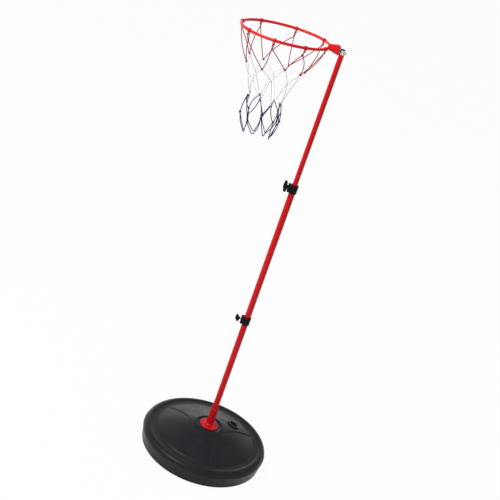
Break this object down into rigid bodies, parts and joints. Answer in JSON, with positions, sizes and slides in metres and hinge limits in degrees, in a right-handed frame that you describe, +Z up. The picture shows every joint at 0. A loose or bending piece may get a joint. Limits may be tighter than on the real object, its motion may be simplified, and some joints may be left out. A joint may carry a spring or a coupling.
{
  "type": "portable basketball hoop",
  "caption": "Free-standing basketball hoop: round hollow weighted base, telescoping pole with thumbscrew clamps, and a rod rim with a knotted net.",
  "frame": {"origin": "centre of the base's flat underside, on the pole's axis", "axes": "+Z up along the pole; the rim reaches out along -X, so -X is the front"},
  "size_m": [0.4966, 0.4, 1.3587],
  "materials": {
    "base_plastic": "satin blow-moulded polyethylene",
    "socket_red": "glossy moulded plastic",
    "pole_red": "gloss enamel on steel tube",
    "rim_red": "gloss enamel on steel rod and sheet",
    "clamp_black": "moulded nylon",
    "cap_black": "moulded plastic",
    "bush_nylon": "moulded nylon",
    "zinc": "bright zinc plate",
    "brass": "turned",
    "cord_red": "braided cord",
    "cord_white": "braided cord",
    "cord_blue": "braided cord"
  },
  "bodies": {
    "stand": {"base_tank": "base_plastic", "pole_socket": "socket_red", "lower_tube": "pole_red", "lower_collar": "clamp_black", "lower_nut": "zinc"},
    "stopper": {"fill_plug": "base_plastic"},
    "lower_screw_tip": {"lower_tip": "brass"},
    "lower_thumbscrew": {"lower_screw": "zinc", "lower_wing": "clamp_black"},
    "lower_guide": {"lower_bush": "bush_nylon"},
    "mid_pole": {"middle_tube": "pole_red", "middle_spigot": "zinc", "upper_collar": "clamp_black", "upper_nut": "zinc"},
    "upper_screw_tip": {"upper_tip": "brass"},
    "upper_thumbscrew": {"upper_screw": "zinc", "upper_wing": "clamp_black"},
    "upper_guide": {"upper_bush": "bush_nylon"},
    "hoop": {"upper_tube": "pole_red", "rim_spigot": "zinc", "spigot_cap": "cap_black", "rim_bracket": "rim_red", "bracket_bolt": "zinc", "bracket_spacer": "zinc", "bracket_washer": "zinc", "bracket_nut": "zinc", "rim_ring": "rim_red", "net_clips": "rim_red", "net_red": "cord_red", "net_white_upper": "cord_white", "net_white_lower": "cord_white", "net_blue_upper": "cord_blue", "net_blue_lower": "cord_blue"}
  },
  "joints": [
    {"name": "stopper_lift", "type": "slide", "parent": "stand", "child": "stopper", "axis": [0.1792, 0.2598, 0.9489], "range_m": [0, 0.06]},
    {"name": "lower_screw_feed", "type": "slide", "parent": "stand", "child": "lower_screw_tip", "axis": [-0.9397, -0.342, 0], "range_m": [-0.00201, 0.00101]},
    {"name": "lower_screw_turn", "type": "hinge", "parent": "lower_screw_tip", "child": "lower_thumbscrew", "pos_m": [0, 0, 0.4845], "axis": [-0.9397, -0.342, 0], "range_deg": [-720, 360]},
    {"name": "lower_pole_slide", "type": "slide", "parent": "stand", "child": "lower_guide", "axis": [0, 0, 1], "range_m": [0, 0.09]},
    {"name": "lower_pole_turn", "type": "hinge", "parent": "lower_guide", "child": "mid_pole", "pos_m": [0, 0, 0.367], "axis": [0, 0, 1], "continuous": true},
    {"name": "upper_screw_feed", "type": "slide", "parent": "mid_pole", "child": "upper_screw_tip", "axis": [-0.9397, -0.342, 0], "range_m": [0, 0.00201]},
    {"name": "upper_screw_turn", "type": "hinge", "parent": "upper_screw_tip", "child": "upper_thumbscrew", "pos_m": [0, 0, 0.931], "axis": [-0.9397, -0.342, 0], "range_deg": [0, 720]},
    {"name": "upper_pole_slide", "type": "slide", "parent": "mid_pole", "child": "upper_guide", "axis": [0, 0, 1], "range_m": [-0.31, 0.05]},
    {"name": "upper_pole_turn", "type": "hinge", "parent": "upper_guide", "child": "hoop", "pos_m": [0, 0, 0.843], "axis": [0, 0, 1], "continuous": true}
  ],
  "couplings": [
    {"joint": "lower_screw_feed", "follows": "lower_screw_turn", "m_per_rad": 0.00015915},
    {"joint": "upper_screw_feed", "follows": "upper_screw_turn", "m_per_rad": 0.00015915}
  ]
}
